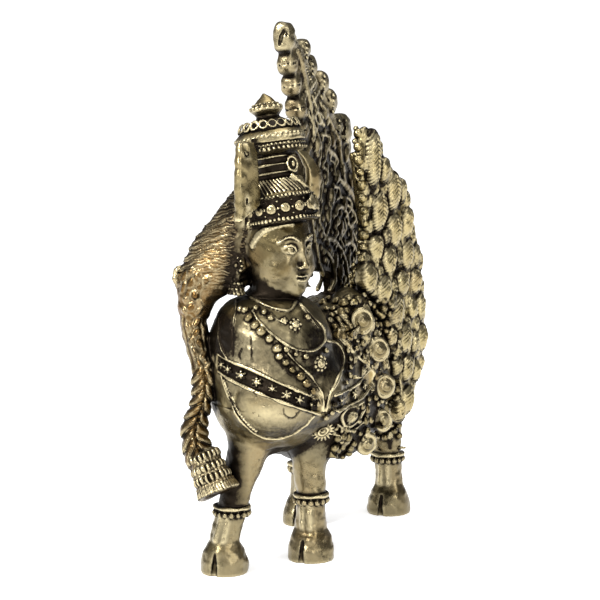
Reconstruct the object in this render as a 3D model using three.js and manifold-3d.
// A Kamdhenu statue cast in one piece: a cow's body with a woman's head and bust, a tiered crown
// between horns, a plait with a bell tassel, one raised wing and a tall peacock tail.
// Millimetres, +Z up. The cow faces -Y, its left flank with the wing is on +X, and it stands at z = 0.
import * as THREE from "three";
import { mergeVertices } from "three/addons/utils/BufferGeometryUtils.js";
import Module from "manifold-3d";

const wasm = await Module();
wasm.setup();

// Trunk
const TRUNK_LENGTH = 137;
const TRUNK_FRONT = -6;
const TRUNK_HALF_WIDTH = 21.5;
const TRUNK_HALF_HEIGHT = 29;
const BELLY_HEIGHT = 36.5;
const RUMP_RISE = 3;

// Legs
const FRONT_SPREAD = 22.5;
const REAR_SPREAD = 25;
const STRIDE = 30;
const FRONT_LEG_Y = 0;
const REAR_LEG_Y = 83;
const HOOF_RADIUS = 9.4;
const HOOF_HEIGHT = 11;
const PASTERN_RADIUS = 6;
const SHANK_RADIUS = 5.8;
const THIGH_RADIUS = 9.5;
const LEG_TOP = 60;
const CLEFT_WIDTH = 1.6;
const CLEFT_HEIGHT = 8;
const ANKLET_HEIGHT = 23;
const ANKLET_BEADS = 6;
const ANKLET_BEAD_RADIUS = 1.7;
const ANKLET_SWELL = 0.9;
const THIGH_OUT = 10.5;
const HIND_THIGH_RADIUS = 12;
const SHOULDER_OUT = 5;
const LEAN_TO_LEFT = 3;

// Bust
const BUST_X = 1;
const BUST_Y = 15;
const BUST_YAW = 67;
const BUST_RADIUS = 22.6;
const BUST_FOOT = 46;
const CHEST_HEIGHT = 68;
const SHOULDER_HEIGHT = 83;
const NECK_RADIUS = 8.6;
const BREAST_RADIUS = 13.4;
const BREAST_HEIGHT = 65.5;
const BREAST_REACH = 15.5;
const BREAST_YAW = 38;

// Head, in its own frame: forward, to its left, and up from the throat
const HEAD_X = 4;
const HEAD_Y = 15;
const HEAD_YAW = 67;
const THROAT_HEIGHT = 102;
const HEAD_HEIGHT = 34;
const HEAD_HALF_WIDTH = 12.6;
const HEAD_HALF_DEPTH = 13.4;
const EAR_DROP = 21;
const EAR_RADIUS = 3.2;

// Crown
const CROWN_BASE = 26;
const CROWN_HEIGHT = 48.5;
const CROWN_RADIUS = 13.4;
const CROWN_LEAN = 11;
const TIARA_DISCS = 9;

// Horns
const HORN_SPREAD = 33;
const HORN_SHIFT = 2;
const HORN_FORWARD = 4;
const HORN_HALF_WIDTH = 4.3;
const HORN_HALF_THICKNESS = 2.1;

// Hair and plait
const HAIR_OUT = 34;
const PLAIT_TURNS = 6;
const PLAIT_WEAVE = 0.5;
const TASSEL_RADIUS = 8.2;
const TASSEL_FLUTES = 11;
const TASSEL_FALL = [5.6, -1.2, -11];

// Wing on the left flank
const WING_TOP = 160;
const WING_OUT = 28;
const WING_BACK = 111;
const WING_ROOT_X = 8;
const WING_CROWNING = 2;
const WING_THICKNESS = 4.5;
const WING_FOOT = 64;
const BACK_HEIGHT = 92;
const FEATHER_ROWS = 8;
const FEATHER_COLUMNS = 5;
const FEATHER_WIDTH = 8.6;
const FEATHER_LENGTH = 17;
const FEATHER_BULGE = 2.4;
const WING_BEAD_RADIUS = 1.7;

// Bosses on the flanks
const BOSS_RADIUS = 5.4;
const BOSS_COUNT = 5;
const BOSS_FIRST_ANGLE = 84;
const BOSS_LAST_ANGLE = -64;
const ROOT_Y = 60;
const ROOT_Z = 62;
const ROOT_RADIUS = 27;
const ROOT_FACE_X = 24;
const ROOT_FALL = 5;

// Peacock tail
const TAIL_TIP_Y = 31;
const TAIL_TOP = 202;
const TAIL_FOOT = 90;
const TAIL_REACH = 88;
const TAIL_THICKNESS = 5.6;
const TAIL_LOBE_RADIUS = 4;
const TAIL_EYE_RADIUS = 4;

// Necklaces
const PEARL_RADIUS = 1.9;
const BAND_WIDTH = 5.5;
const BAND_RAISE = 0.8;

const DEGREE = Math.PI / 180;
const TURN = 2 * Math.PI;

const vec = (x, y, z) => new THREE.Vector3(x, y, z);
const lerp = THREE.MathUtils.lerp;

// Geometry helpers

// A closed skin over rings of equal length, capped at both ends.
function loft(rings) {
  const count = rings[0].length;
  const points = rings.flat();
  const faces = [];
  for (let r = 0; r + 1 < rings.length; r++) {
    for (let i = 0; i < count; i++) {
      const a = r * count + i;
      const b = r * count + ((i + 1) % count);
      faces.push(a, b, a + count, b, b + count, a + count);
    }
  }
  const last = (rings.length - 1) * count;
  for (let i = 1; i + 1 < count; i++) {
    faces.push(0, i + 1, i, last, last + i, last + i + 1);
  }
  const geometry = new THREE.BufferGeometry().setFromPoints(points);
  geometry.setIndex(faces);
  return geometry;
}

// An oval ring about a centre, spanned by two axes.
function ring(centre, across, upward, halfAcross, halfUp, count) {
  return Array.from({ length: count }, (_, i) => {
    const angle = (TURN * i) / count;
    return centre
      .clone()
      .addScaledVector(across, halfAcross * Math.cos(angle))
      .addScaledVector(upward, halfUp * Math.sin(angle));
  });
}

// A tapered tube that follows a list of stations: centre, half width and half depth.
function tapered(stations, count, side = vec(1, 0, 0)) {
  const curve = new THREE.CatmullRomCurve3(stations.map((s) => s.at));
  const rings = stations.map((s, i) => {
    const along = curve.getTangent(i / (stations.length - 1));
    const upward = new THREE.Vector3().crossVectors(along, side).normalize();
    const across = new THREE.Vector3().crossVectors(upward, along).normalize();
    return ring(s.at, across, upward, s.wide, s.deep ?? s.wide, count);
  });
  return loft(rings);
}

// A round cord along a smooth curve through points.
function cord(points, radius, steps, sides = 4) {
  const section = new THREE.Shape(
    Array.from({ length: sides }, (_, i) => {
      const angle = (TURN * i) / sides;
      return new THREE.Vector2(radius * Math.cos(angle), radius * Math.sin(angle));
    }),
  );
  const path = new THREE.CatmullRomCurve3(points);
  return new THREE.ExtrudeGeometry(section, { steps, extrudePath: path, bevelEnabled: false });
}

// A solid of revolution about +Z from radius and height pairs.
function turned(profile, segments) {
  const points = profile.map(([radius, height]) => new THREE.Vector2(radius, height));
  return new THREE.LatheGeometry(points, segments).rotateX(90 * DEGREE);
}

// A level ring of points about a centre, every other one pushed out by a swell.
function lobedRing(centre, radius, swell, count) {
  return Array.from({ length: count }, (_, i) => {
    const angle = (TURN * (i + 0.5)) / count;
    const reach = radius + (i % 2 ? 0 : swell);
    return centre.clone().add(vec(reach * Math.cos(angle), reach * Math.sin(angle), 0));
  });
}

// A turned form whose rings swell into lobes: each profile row is radius, height and lobe size.
function lobed(profile, lobes) {
  const rings = profile.map(([radius, height, swell = 0]) =>
    lobedRing(vec(0, 0, height), radius, swell, 2 * lobes),
  );
  return loft(rings);
}

// A string of beads laid along a curve, as one tube that swells at each bead.
function beadString(points, beads, radius) {
  const curve = new THREE.CatmullRomCurve3(points);
  const last = 2 * beads;
  const stations = Array.from({ length: last + 1 }, (_, i) => ({
    at: curve.getPoint(i / last),
    wide: i % 2 ? radius : radius * 0.35,
  }));
  return tapered(stations, 4);
}

function ball(radius, wide = 8, high = 5) {
  return new THREE.SphereGeometry(radius, wide, high);
}

function bead(radius) {
  return new THREE.IcosahedronGeometry(radius, 0);
}

// Turns a geometry so that its +Z points along a direction, and moves it to a point.
function aimed(geometry, at, direction) {
  const turn = new THREE.Quaternion().setFromUnitVectors(vec(0, 0, 1), direction.clone().normalize());
  return geometry.applyQuaternion(turn).translate(at.x, at.y, at.z);
}

function moved(geometry, at) {
  return geometry.translate(at.x, at.y, at.z);
}

function solid(geometry) {
  const bare = geometry.clone();
  bare.deleteAttribute("normal");
  bare.deleteAttribute("uv");
  const welded = mergeVertices(bare, 1e-4);
  const vertProperties = new Float32Array(welded.attributes.position.array);
  const triVerts = new Uint32Array(welded.index.array);
  const made = new wasm.Manifold(new wasm.Mesh({ numProp: 3, vertProperties, triVerts }));
  if (made.volume() > 0) return made;
  for (let i = 0; i < triVerts.length; i += 3) {
    [triVerts[i + 1], triVerts[i + 2]] = [triVerts[i + 2], triVerts[i + 1]];
  }
  return new wasm.Manifold(new wasm.Mesh({ numProp: 3, vertProperties, triVerts }));
}

function joined(geometries) {
  return geometries.map(solid).reduce((sum, next) => sum.add(next));
}

function geometryOf(manifold) {
  const mesh = manifold.getMesh();
  const geometry = new THREE.BufferGeometry();
  geometry.setAttribute("position", new THREE.BufferAttribute(mesh.vertProperties, 3));
  geometry.setIndex(new THREE.BufferAttribute(mesh.triVerts, 1));
  return geometry;
}

// Directions by yaw, measured from the cow's front towards its left
function heading(yaw) {
  return vec(Math.sin(yaw * DEGREE), -Math.cos(yaw * DEGREE), 0);
}

// Trunk

// How full the trunk is at a share of its length, from -1 at the chest to 1 at the rump.
const fullness = (share) => Math.sqrt(Math.max(0, 1 - Math.abs(share) ** 3));

function trunkAt(y) {
  const share = (2 * (y - TRUNK_FRONT)) / TRUNK_LENGTH - 1;
  const full = fullness(share);
  return {
    full,
    centre: BELLY_HEIGHT + TRUNK_HALF_HEIGHT + RUMP_RISE * share,
    halfWidth: TRUNK_HALF_WIDTH * full,
    halfHeight: TRUNK_HALF_HEIGHT * full,
  };
}

// A point on the flank: side is 1 for the left and -1 for the right.
function flank(side, y, z, raise = 0) {
  const trunk = trunkAt(y);
  const rise = THREE.MathUtils.clamp((z - trunk.centre) / trunk.halfHeight, -0.98, 0.98);
  return vec(side * (trunk.halfWidth * Math.sqrt(1 - rise * rise) + raise), y, z);
}

function trunk() {
  const shares = [-0.98, -0.86, -0.62, -0.3, 0, 0.3, 0.6, 0.8, 0.93, 0.99];
  const rings = shares.map((share) => {
    const y = TRUNK_FRONT + (TRUNK_LENGTH * (share + 1)) / 2;
    const at = trunkAt(y);
    return ring(vec(0, y, at.centre), vec(1, 0, 0), vec(0, 0, 1), at.halfWidth, at.halfHeight, 12);
  });
  return loft(rings);
}

// Legs

// One leg as a single skin of level rings, so that the hoof stands flat. The anklet's beads are
// swells of one ring.
function leg(side, y, rear) {
  const foot = vec((side * (rear ? REAR_SPREAD : FRONT_SPREAD)) / 2, y, 0);
  const topX = rear ? side * THIGH_OUT : side * SHOULDER_OUT + LEAN_TO_LEFT;
  const top = vec(topX, y + STRIDE * (rear ? -0.07 : 0.2), 0);
  const thigh = rear ? HIND_THIGH_RADIUS : THIGH_RADIUS;
  const shape = [
    [0, HOOF_RADIUS],
    [HOOF_HEIGHT * 0.5, HOOF_RADIUS * 0.98],
    [HOOF_HEIGHT * 0.86, HOOF_RADIUS * 0.8],
    [HOOF_HEIGHT, PASTERN_RADIUS * 1.15],
    [ANKLET_HEIGHT - ANKLET_BEAD_RADIUS * 2.4, PASTERN_RADIUS],
    [ANKLET_HEIGHT - ANKLET_BEAD_RADIUS, PASTERN_RADIUS * 1.05, ANKLET_SWELL],
    [ANKLET_HEIGHT + ANKLET_BEAD_RADIUS, PASTERN_RADIUS + ANKLET_SWELL],
    [ANKLET_HEIGHT + ANKLET_BEAD_RADIUS * 1.8, SHANK_RADIUS],
    [lerp(ANKLET_HEIGHT, LEG_TOP, 0.4), SHANK_RADIUS * 1.1],
    [lerp(ANKLET_HEIGHT, LEG_TOP, 0.7), thigh * 0.84],
    [LEG_TOP, thigh],
  ];
  const rings = shape.map(([height, radius, swell = 0]) => {
    const pull = THREE.MathUtils.smoothstep(height, HOOF_HEIGHT * 0.6, LEG_TOP);
    const centre = foot.clone().lerp(top, pull).setZ(height);
    return lobedRing(centre, radius, swell, 2 * ANKLET_BEADS);
  });
  return { foot, skin: loft(rings) };
}

function cleft(foot) {
  const depth = HOOF_RADIUS * 0.6;
  const groove = new THREE.BoxGeometry(CLEFT_WIDTH, depth, CLEFT_HEIGHT * 2);
  return moved(groove, vec(foot.x, foot.y - HOOF_RADIUS, 0));
}

function legs() {
  const made = [
    leg(-1, FRONT_LEG_Y, false),
    leg(1, FRONT_LEG_Y + STRIDE, false),
    leg(-1, REAR_LEG_Y, true),
    leg(1, REAR_LEG_Y + STRIDE, true),
  ];
  const whole = joined(made.map((m) => m.skin));
  return made.reduce((sum, m) => sum.subtract(solid(cleft(m.foot))), whole);
}

// Bust

const bustAxis = (height) => vec(BUST_X, BUST_Y, height);

// Radius of the bust at a height, rounded below the chest and above the shoulders.
function bustRadius(height) {
  const oval = (share) => Math.sqrt(Math.max(0, 1 - share * share));
  if (height < CHEST_HEIGHT) {
    return BUST_RADIUS * oval((CHEST_HEIGHT - height) / (CHEST_HEIGHT - BUST_FOOT));
  }
  const above = Math.max(0, height - SHOULDER_HEIGHT) / (THROAT_HEIGHT - SHOULDER_HEIGHT);
  return lerp(NECK_RADIUS, BUST_RADIUS, oval(above));
}

// The outermost of bust and breasts along a yaw at a height.
function bustPoint(yaw, height, raise = 0) {
  let reach = bustRadius(height);
  for (const side of [-1, 1]) {
    const turn = (yaw - BUST_YAW - side * BREAST_YAW) * DEGREE;
    const rise = (height - BREAST_HEIGHT) / (BREAST_RADIUS * 0.92);
    const room = 1 - rise * rise - ((BREAST_REACH * Math.sin(turn)) / BREAST_RADIUS) ** 2;
    if (room > 0 && Math.cos(turn) > 0) {
      reach = Math.max(reach, BREAST_REACH * Math.cos(turn) + BREAST_RADIUS * Math.sqrt(room));
    }
  }
  return bustAxis(height).addScaledVector(heading(yaw), reach + raise);
}

function bust() {
  const lower = [0.09, 0.32, 0.64, 1].map((share) => lerp(BUST_FOOT, CHEST_HEIGHT, share));
  const upper = [0, 0.42, 0.74, 0.92, 1].map((share) => lerp(SHOULDER_HEIGHT, THROAT_HEIGHT, share));
  const nape = THROAT_HEIGHT + NECK_RADIUS * 0.7;
  const skin = [...lower, ...upper].map((height) => [bustRadius(height), height]);
  const profile = [[0, lower[0]], ...skin, [NECK_RADIUS, nape], [0, nape]];
  const chest = moved(turned(profile, 16), vec(BUST_X, BUST_Y, 0));
  const breasts = [-1, 1].map((side) => {
    const at = bustAxis(BREAST_HEIGHT).addScaledVector(heading(BUST_YAW + side * BREAST_YAW), BREAST_REACH);
    return moved(ball(BREAST_RADIUS, 12, 7).rotateX(90 * DEGREE).scale(1, 1, 0.92), at);
  });
  return [chest, ...breasts];
}

// Jewellery of the bust

// A flat band laid on the bust along pairs of a yaw and a rise in breast radii, face outwards.
function band(route, width, raise) {
  const rings = route.map(([yaw, rise]) => {
    const height = BREAST_HEIGHT + BREAST_RADIUS * rise;
    const inner = -BREAST_RADIUS * 0.25;
    return [
      bustPoint(yaw, height - width / 2, inner),
      bustPoint(yaw, height - width / 2, raise),
      bustPoint(yaw, height + width / 2, raise),
      bustPoint(yaw, height + width / 2, inner),
    ];
  });
  return loft(rings);
}

// A flower boss on a short stem that runs into what carries it.
function rosette(at, direction, radius, petals) {
  const flower = lobed(
    [
      [radius * 0.6, -radius],
      [radius * 0.6, 0, radius * 0.4],
      [radius * 0.5, radius * 0.3, radius * 0.3],
      [radius * 0.3, radius * 0.44],
    ],
    petals,
  );
  return aimed(flower, at, direction);
}

function jewellery() {
  const on = (yaw, rise, raise) => bustPoint(yaw, BREAST_HEIGHT + BREAST_RADIUS * rise, raise);
  const throat = (yaw, share) => {
    return bustPoint(yaw, lerp(BREAST_HEIGHT, THROAT_HEIGHT, share), PEARL_RADIUS * 0.25);
  };
  const string = [throat(5, 0.86), throat(18, 0.7), throat(33, 0.53), throat(46, 0.34), throat(60, 0.12)];
  const near = [
    [-70, 1.23],
    [-45, 1.12],
    [-20, 0.97],
    [0, 0.82],
    [18, 0.6],
    [33, 0.34],
    [47, 0.04],
    [60, -0.26],
  ];
  const far = [
    [74, -0.34],
    [88, -0.3],
    [102, -0.26],
    [116, -0.22],
  ];
  const flower = on(BUST_YAW, -0.56, PEARL_RADIUS * 1.6);
  const pendant = on(BUST_YAW + 8, 1.08, PEARL_RADIUS * 0.3);
  return [
    beadString(string, 10, PEARL_RADIUS),
    band(near, BAND_WIDTH, BAND_RAISE),
    band(far, BAND_WIDTH, BAND_RAISE),
    rosette(flower, heading(BUST_YAW), PEARL_RADIUS * 2.3, 6),
    rosette(pendant, heading(BUST_YAW + 8), PEARL_RADIUS * 1.6, 5),
  ];
}

// Head

const headAxes = {
  forward: heading(HEAD_YAW),
  left: heading(HEAD_YAW + 90),
};

function headPoint(forward, left, up) {
  return vec(HEAD_X, HEAD_Y, THROAT_HEIGHT + up)
    .addScaledVector(headAxes.forward, forward)
    .addScaledVector(headAxes.left, left);
}

function head() {
  const share = (up, centre, deep, wide) => ({ up: up * HEAD_HEIGHT, centre, deep, wide });
  const stations = [
    share(0, 6.5, 0.28, 0.3),
    share(0.06, 5, 0.5, 0.56),
    share(0.18, 2.6, 0.76, 0.82),
    share(0.38, 0.8, 0.95, 0.96),
    share(0.62, 0, 1, 1),
    share(0.82, -0.5, 1, 1),
    share(1, -1, 0.86, 0.86),
  ];
  const skull = loft(
    stations.map((s) =>
      ring(
        headPoint(s.centre, 0, s.up),
        headAxes.forward,
        headAxes.left,
        s.deep * HEAD_HALF_DEPTH,
        s.wide * HEAD_HALF_WIDTH,
        12,
      ),
    ),
  );
  const d = HEAD_HALF_DEPTH;
  const w = HEAD_HALF_WIDTH;
  const h = HEAD_HEIGHT;
  const nose = loft([
    ring(headPoint(d * 0.86, 0, h * 0.54), headAxes.left, vec(0, 0, 1), w * 0.08, w * 0.06, 6),
    ring(headPoint(d * 1.01, 0, h * 0.41), headAxes.left, headAxes.forward, w * 0.1, w * 0.1, 6),
    ring(headPoint(d * 1.01, 0, h * 0.32), headAxes.left, headAxes.forward, w * 0.17, w * 0.16, 6),
  ]);
  const lips = [0.2, 0.245].map((rise) => {
    const lip = ball(w * 0.08, 6, 4).scale(1.3, 3, 0.7);
    return moved(lip.rotateZ((HEAD_YAW - 90) * DEGREE), headPoint(d * 0.89, 0, h * rise));
  });
  const eyes = [-1, 1].map((side) => {
    const eye = ball(w * 0.08, 6, 4).scale(1.2, 2.6, 1.2);
    const turn = (HEAD_YAW - 90 + side * 22) * DEGREE;
    return moved(eye.rotateZ(turn), headPoint(d * 0.82, side * w * 0.4, h * 0.49));
  });
  return [skull, nose, ...lips, ...eyes];
}

function ears() {
  const r = EAR_RADIUS;
  return [-1, 1].flatMap((side) => {
    const out = heading(HEAD_YAW + side * 90);
    const place = (share, reach) => {
      return headPoint(-HEAD_HALF_DEPTH * 0.3, side * (HEAD_HALF_WIDTH + reach * r), share * EAR_DROP);
    };
    const bell = turned([[0, -0.8 * r], [1.06 * r, -0.8 * r], [0.44 * r, 0.6 * r], [0, 1.2 * r]], 6);
    const disc = turned([[0, -0.6 * r], [1.06 * r, -0.6 * r], [1.06 * r, 0.3 * r], [0, 0.6 * r]], 6);
    return [
      moved(bead(0.9 * r), place(1.26, 0.1)),
      aimed(new THREE.TorusGeometry(r, 0.4 * r, 4, 7), place(1, -0.1), out),
      aimed(disc, place(0.59, 0), out),
      moved(bell, place(0.31, 0.15)),
    ];
  });
}

// Crown

function crownPlace(geometry) {
  const lean = geometry.rotateY(-CROWN_LEAN * DEGREE).rotateZ((HEAD_YAW - 90) * DEGREE);
  return moved(lean, headPoint(HORN_FORWARD * 0.8, 0, CROWN_BASE));
}

function crown() {
  const r = CROWN_RADIUS;
  const h = CROWN_HEIGHT;
  const profile = [
    [0.9, -0.05],
    [1, 0],
    [0.96, 0.05],
    [0.96, 0.12, 0.12],
    [1.02, 0.23],
    [0.76, 0.27],
    [0.68, 0.38],
    [0.48, 0.42],
    [0.46, 0.54],
    [0.84, 0.59],
    [0.9, 0.66, 0.12],
    [0.92, 0.71],
    [0.34, 0.82],
    [0.46, 0.86],
    [0.04, 1],
  ];
  const tiers = lobed(
    profile.map(([radius, height, swell = 0]) => [radius * r, height * h, swell * r]),
    TIARA_DISCS,
  );
  const drop = moved(ball(r * 0.19, 6, 5).scale(0.8, 0.8, 1.4), vec(r * 1.04, 0, h * 0.13));
  return [tiers, drop].map(crownPlace);
}

// Two flat blades beside the crown, each with its broad face to the front. Both stand a little to
// the head's right.
function horns() {
  return [-1, 1].map((side) => {
    const shape = [
      [CROWN_RADIUS * 0.94, 0.03, 0.9],
      [HORN_SPREAD * 0.46, 0.14, 1.05],
      [HORN_SPREAD * 0.5, 0.29, 1],
      [HORN_SPREAD * 0.48, 0.43, 0.95],
      [HORN_SPREAD * 0.42, 0.56, 0.9],
      [CROWN_RADIUS * 0.86, 0.65, 0.75],
    ];
    const place = (out, share) => {
      const forward = HORN_FORWARD * (1 - 1.2 * share);
      return headPoint(forward, side * out - HORN_SHIFT, CROWN_BASE + CROWN_HEIGHT * share);
    };
    const stations = shape.map(([out, share, size]) => ({
      at: place(out, share),
      wide: HORN_HALF_THICKNESS * size,
      deep: HORN_HALF_WIDTH * size,
    }));
    return tapered(stations, 8, headAxes.forward);
  });
}

// Hair and plait

// Places and radii of the hair, as shares of its reach: out to the right of the throat, back, up,
// half width and half depth.
const HAIR_MASS = [
  [0.147, 0.03, 1.147, 0.265, 0.265],
  [0.309, -0.03, 0.912, 0.338, 0.265],
  [0.47, -0.09, 0.647, 0.397, 0.265],
  [0.647, -0.147, 0.382, 0.397, 0.265],
  [0.824, -0.206, 0.176, 0.294, 0.22],
  [0.853, -0.25, -0.03, 0.194, 0.176],
  [0.87, -0.28, -0.176, 0.17, 0.165],
];
const KNOB = [1.047, -0.206, 0.235, 0.118];

// The plait from the nape down, in the same shares, with its radius as the last.
const PLAIT = [
  [0.853, -0.265, -0.059, 0.182],
  [0.871, -0.294, -0.279, 0.168],
  [0.794, -0.353, -0.529, 0.147],
  [0.676, -0.441, -0.794, 0.132],
  [0.641, -0.529, -1.088, 0.126],
  [0.718, -0.588, -1.412, 0.141],
  [0.659, -0.632, -1.632, 0.171],
  [0.541, -0.676, -1.824, 0.182],
];

function hairPoint([out, back, up]) {
  return vec(HEAD_X - out * HAIR_OUT, HEAD_Y + back * HAIR_OUT, THROAT_HEIGHT + up * HAIR_OUT);
}

function hair() {
  const mass = HAIR_MASS.map((row) => ({
    at: hairPoint(row),
    wide: row[3] * HAIR_OUT,
    deep: row[4] * HAIR_OUT,
  }));
  const route = new THREE.CatmullRomCurve3(PLAIT.map(hairPoint));
  const girth = new THREE.SplineCurve(PLAIT.map((row, i) => new THREE.Vector2(i, row[3])));
  const last = 2 * PLAIT_TURNS;
  const plait = Array.from({ length: last + 1 }, (_, i) => {
    const side = i % 2 ? 1 : -1;
    const radius = girth.getPoint(i / last).y * HAIR_OUT;
    const at = route.getPoint(i / last).add(vec(side * PLAIT_WEAVE, 0, 0));
    return { at, wide: radius * (1 - side * 0.06), deep: radius * 0.9 };
  });
  const knob = moved(bead(KNOB[3] * HAIR_OUT), hairPoint(KNOB));
  return [tapered(mass, 10), knob, tapered(plait, 8)];
}

function tassel() {
  const top = hairPoint(PLAIT[PLAIT.length - 1]);
  const down = vec(...TASSEL_FALL).normalize();
  const r = TASSEL_RADIUS;
  const profile = [
    [0, -0.85],
    [0.62, -0.85],
    [0.76, -0.61],
    [0.7, -0.49],
    [0.88, -0.17],
    [0.8, -0.05],
    [1, 0.32],
    [0.9, 0.46],
    [1, 1.02],
    [0.9, 1.17],
    [0, 1.17],
  ];
  const bell = turned(profile.map(([radius, depth]) => [radius * r, depth * r]), TASSEL_FLUTES);
  return [aimed(bell, top, down)];
}

// Wing

// Margins of the wing from its top down, as shares of its reach out, its reach back and its height.
const WING_FRONT_MARGIN = [
  [0.63, 0.622, 1.01],
  [0.64, 0.559, 0.927],
  [0.64, 0.582, 0.771],
  [0.64, 0.622, 0.5625],
  [0.65, 0.586, 0.469],
  [0.69, 0.595, 0.385],
  [0.821, 0.667, 0.25],
  [0.857, 0.757, 0.125],
  [0.857, 0.829, -0.01],
];
const WING_REAR_MARGIN = [
  [0.661, 0.64, 1.01],
  [0.821, 0.658, 0.906],
  [0.929, 0.694, 0.8125],
  [1, 0.793, 0.6875],
  [1, 0.874, 0.53],
  [0.982, 0.946, 0.375],
  [0.964, 0.982, 0.27],
  [0.964, 1, 0.167],
  [0.929, 0.964, 0.073],
  [0.857, 0.901, -0.01],
];

// Where a margin passes a height.
function marginAt(margin, z) {
  const places = margin.map(([out, back, up]) => {
    return vec(out * WING_OUT, back * WING_BACK, lerp(WING_FOOT, WING_TOP, up));
  });
  const fine = new THREE.CatmullRomCurve3(places).getPoints(80);
  return fine.find((point) => point.z <= z) ?? fine[fine.length - 1];
}

// A point of the wing's outer face: share 0 at its front margin and 1 at its rear margin.
function wingPoint(share, z, raise = 0) {
  const front = marginAt(WING_FRONT_MARGIN, z);
  const rear = marginAt(WING_REAR_MARGIN, z);
  const crowning = WING_CROWNING * Math.sin(Math.PI * Math.min(1, share));
  const at = front.clone().lerp(rear, share);
  return vec(at.x + crowning + raise, at.y, z);
}

// The wing as one plate whose outer face swells into staggered rows of feathers.
function wing() {
  const rows = 2 * FEATHER_ROWS;
  const columns = 2 * FEATHER_COLUMNS;
  const rings = Array.from({ length: rows + 1 }, (_, row) => {
    const z = lerp(WING_FOOT, WING_TOP, row / rows);
    const between = row % 2 === 1;
    const outer = Array.from({ length: columns + 1 }, (_, column) => {
      const onFeather = (column + row / 2) % 2 === 1;
      const bulge = between ? FEATHER_BULGE * 0.4 : onFeather ? FEATHER_BULGE : 0;
      const spread = column === columns ? bulge * 0.03 : 0;
      return wingPoint(column / columns + spread, z, bulge);
    });
    const rise = (z - BACK_HEIGHT) / WING_THICKNESS;
    const free = THREE.MathUtils.smoothstep(rise, -1, 2);
    const inner = [1, 0.5, 0].map((share) => {
      const back = wingPoint(share, z, -WING_THICKNESS);
      return back.setX(lerp(WING_ROOT_X, back.x, free));
    });
    return [...outer, ...inner];
  });
  return loft(rings);
}

// A plump leaf, widest above its middle.
function feather(at, length, width) {
  const leaf = ball(0.5, 6, 4).rotateX(90 * DEGREE).rotateY(10 * DEGREE);
  return moved(leaf.scale(FEATHER_BULGE * 2, width, length), at);
}

function wingBeads() {
  const on = (share, up, raise) => {
    return wingPoint(share, lerp(WING_FOOT, WING_TOP, up), raise * WING_BEAD_RADIUS);
  };
  const margin = [0.96, 0.85, 0.71, 0.56, 0.46, 0.385].map((up) => on(0.02, up, 0.2));
  const lower = [0.375, 0.27, 0.167, 0.06, -0.02].map((up) => on(0, up, 0.7));
  return [
    beadString(margin, 11, WING_BEAD_RADIUS),
    beadString(lower, 6, WING_BEAD_RADIUS * 0.9),
  ];
}

// Bosses

function boss(at, direction) {
  const r = BOSS_RADIUS;
  const profile = [
    [0, -0.8],
    [0.8, -0.8],
    [1, 0.1],
    [0.84, 0.36],
    [0.5, 0.16],
    [0, 0.55],
  ];
  const cup = turned(profile.map(([radius, height]) => [radius * r, height * r]), 7);
  return aimed(cup, at, direction);
}

// The raised root of the wing on a flank, and a point on its face.
function wingRoot(side) {
  const layers = [
    [0, 1],
    [0.55, 0.97],
    [0.85, 0.82],
    [1, 0.5],
  ];
  const rings = layers.map(([out, share]) => {
    const centre = vec(side * lerp(WING_ROOT_X, ROOT_FACE_X, out), ROOT_Y, ROOT_Z);
    return ring(centre, vec(0, 1, 0), vec(0, 0, 1), ROOT_RADIUS * share, ROOT_RADIUS * share, 12);
  });
  return loft(rings);
}

function rootPoint(side, y, z, raise) {
  const share = Math.hypot(y - ROOT_Y, z - ROOT_Z) / ROOT_RADIUS;
  return vec(side * (ROOT_FACE_X - ROOT_FALL * share ** 4 + raise), y, z);
}

// Bosses along the rear and lower rim of the wing's root, turned a little to the front.
function bosses(side) {
  return Array.from({ length: BOSS_COUNT }, (_, i) => {
    const angle = lerp(BOSS_FIRST_ANGLE, BOSS_LAST_ANGLE, i / (BOSS_COUNT - 1)) * DEGREE;
    const y = ROOT_Y + ROOT_RADIUS * (0.96 * Math.cos(angle) - 0.185);
    const z = ROOT_Z + ROOT_RADIUS * 0.96 * Math.sin(angle);
    return boss(rootPoint(side, y, z, BOSS_RADIUS * 0.18), vec(side, -0.9, 0.2 * Math.sin(angle)));
  });
}

function flankBeads(side) {
  const reach = ROOT_RADIUS * 0.5;
  return [0, 1, 2, 3].map((i) => {
    const angle = lerp(80, -60, i / 3) * DEGREE;
    const at = rootPoint(side, ROOT_Y + reach * Math.cos(angle), ROOT_Z + reach * Math.sin(angle), 0);
    return moved(bead(BOSS_RADIUS * 0.45), at);
  });
}

// A low relief of feathers on the right flank.
function rightFeathers() {
  const made = [];
  for (let row = 0; row < 2; row++) {
    for (let i = 0; i < 2; i++) {
      const y = TRUNK_FRONT + TRUNK_LENGTH * 0.7 + FEATHER_WIDTH * (1.4 * i + 0.7 * row);
      const z = BELLY_HEIGHT + TRUNK_HALF_HEIGHT * 1.64 - FEATHER_LENGTH * 0.65 * row;
      const leaf = feather(vec(0, 0, 0), FEATHER_LENGTH * 0.85, FEATHER_WIDTH);
      made.push(moved(leaf, flank(-1, y, z, -0.25 * FEATHER_BULGE)));
    }
  }
  return made;
}

// Peacock tail

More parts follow.
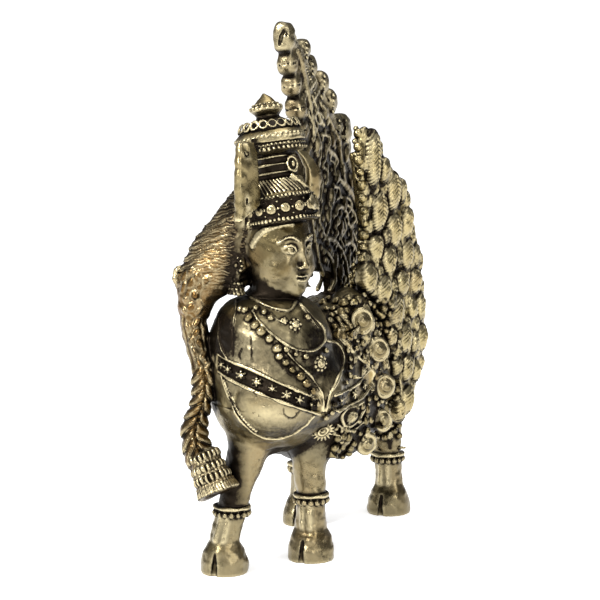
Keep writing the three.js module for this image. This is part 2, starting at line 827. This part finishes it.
// Places on the tail's middle plane: how far behind its tip, and how far up from its foot.
const TAIL_FRONT = [
  [-0.015, 0.955],
  [0, 0.893],
  [0.062, 0.804],
  [0.131, 0.679],
  [0.17, 0.43],
  [0.227, 0.232],
  [0.307, 0.134],
  [0.523, 0],
];
const TAIL_REAR = [
  [0.011, 0.978],
  [0.128, 0.925],
  [0.276, 0.818],
  [0.472, 0.704],
  [0.655, 0.568],
  [0.825, 0.41],
  [0.955, 0.232],
  [1, 0],
];
const TAIL_LUMPS = [
  [0.027, 0.849],
  [0.072, 0.782],
  [0.134, 0.704],
  [0.159, 0.62],
  [0.175, 0.536],
  [0.19, 0.45],
  [0.216, 0.357],
];
const TAIL_DOMES = [
  [0.174, 0.908],
  [0.255, 0.848],
  [0.372, 0.779],
  [0.492, 0.708],
  [0.647, 0.598],
  [0.745, 0.488],
  [0.83, 0.402],
  [0.905, 0.31],
];

function tailPoint([back, up]) {
  return vec(0, TAIL_TIP_Y + TAIL_REACH * back, lerp(TAIL_FOOT, TAIL_TOP, up));
}

function tailMargins() {
  return {
    front: new THREE.CatmullRomCurve3(TAIL_FRONT.map(tailPoint)),
    rear: new THREE.CatmullRomCurve3(TAIL_REAR.map(tailPoint)),
  };
}

function tailPlate() {
  const { front, rear } = tailMargins();
  const half = TAIL_THICKNESS / 2;
  const steps = 10;
  const rings = Array.from({ length: steps + 1 }, (_, i) => {
    const a = front.getPoint(i / steps);
    const b = rear.getPoint(i / steps);
    const edge = (share, x) => a.clone().lerp(b, share).setX(x);
    const left = [edge(0.12, half), edge(0.88, half)];
    const right = [edge(0.88, -half), edge(0.12, -half)];
    return [edge(0, 0), ...left, edge(1, 0), ...right];
  });
  return loft(rings);
}

function tailLobes() {
  const r = TAIL_LOBE_RADIUS;
  const tip = moved(ball(r, 8, 6).scale(0.95, 0.95, 1.5), vec(0, TAIL_TIP_Y, TAIL_TOP - 1.5 * r));
  const lumps = TAIL_LUMPS.map((place) => moved(ball(r, 6, 4).scale(0.9, 0.95, 1), tailPoint(place)));
  const domes = TAIL_DOMES.map((place) => {
    const dome = ball(TAIL_EYE_RADIUS, 6, 4).rotateZ(90 * DEGREE);
    return moved(dome.scale(1, 1.05, 1.2), tailPoint(place));
  });
  return [tip, ...lumps, ...domes];
}

function tailStems() {
  const { front, rear } = tailMargins();
  return [0.35, 0.7].flatMap((share) =>
    [-1, 1].map((side) => {
      const route = [0.2, 0.4, 0.6, 0.85, 1].map((along) => {
        const at = front.getPoint(along).lerp(rear.getPoint(along), share);
        return at.setX((side * TAIL_THICKNESS) / 2);
      });
      return cord(route, TAIL_THICKNESS / 6, 6);
    }),
  );
}

// The whole casting, set over the middle of its own footprint

function casting() {
  const forms = [
    trunk(),
    ...bust(),
    ...jewellery(),
    ...head(),
    ...ears(),
    ...crown(),
    ...horns(),
    ...hair(),
    ...tassel(),
    wingRoot(1),
    wingRoot(-1),
    wing(),
    ...wingBeads(),
    ...bosses(1),
    ...bosses(-1),
    ...flankBeads(1),
    ...rightFeathers(),
    tailPlate(),
    ...tailLobes(),
    ...tailStems(),
  ];
  return joined(forms).add(legs());
}

const brass = new THREE.MeshStandardMaterial({ color: 0x8f7d4e, roughness: 0.42, metalness: 0.9 });
const geometry = geometryOf(casting());
geometry.computeBoundingBox();
const middle = geometry.boundingBox.getCenter(new THREE.Vector3());

const statue = new THREE.Mesh(geometry, brass);
statue.name = "kamdhenu_statue";
statue.position.set(-middle.x, -middle.y, 0);

const kamdhenu = new THREE.Group();
kamdhenu.add(statue);

export default kamdhenu;
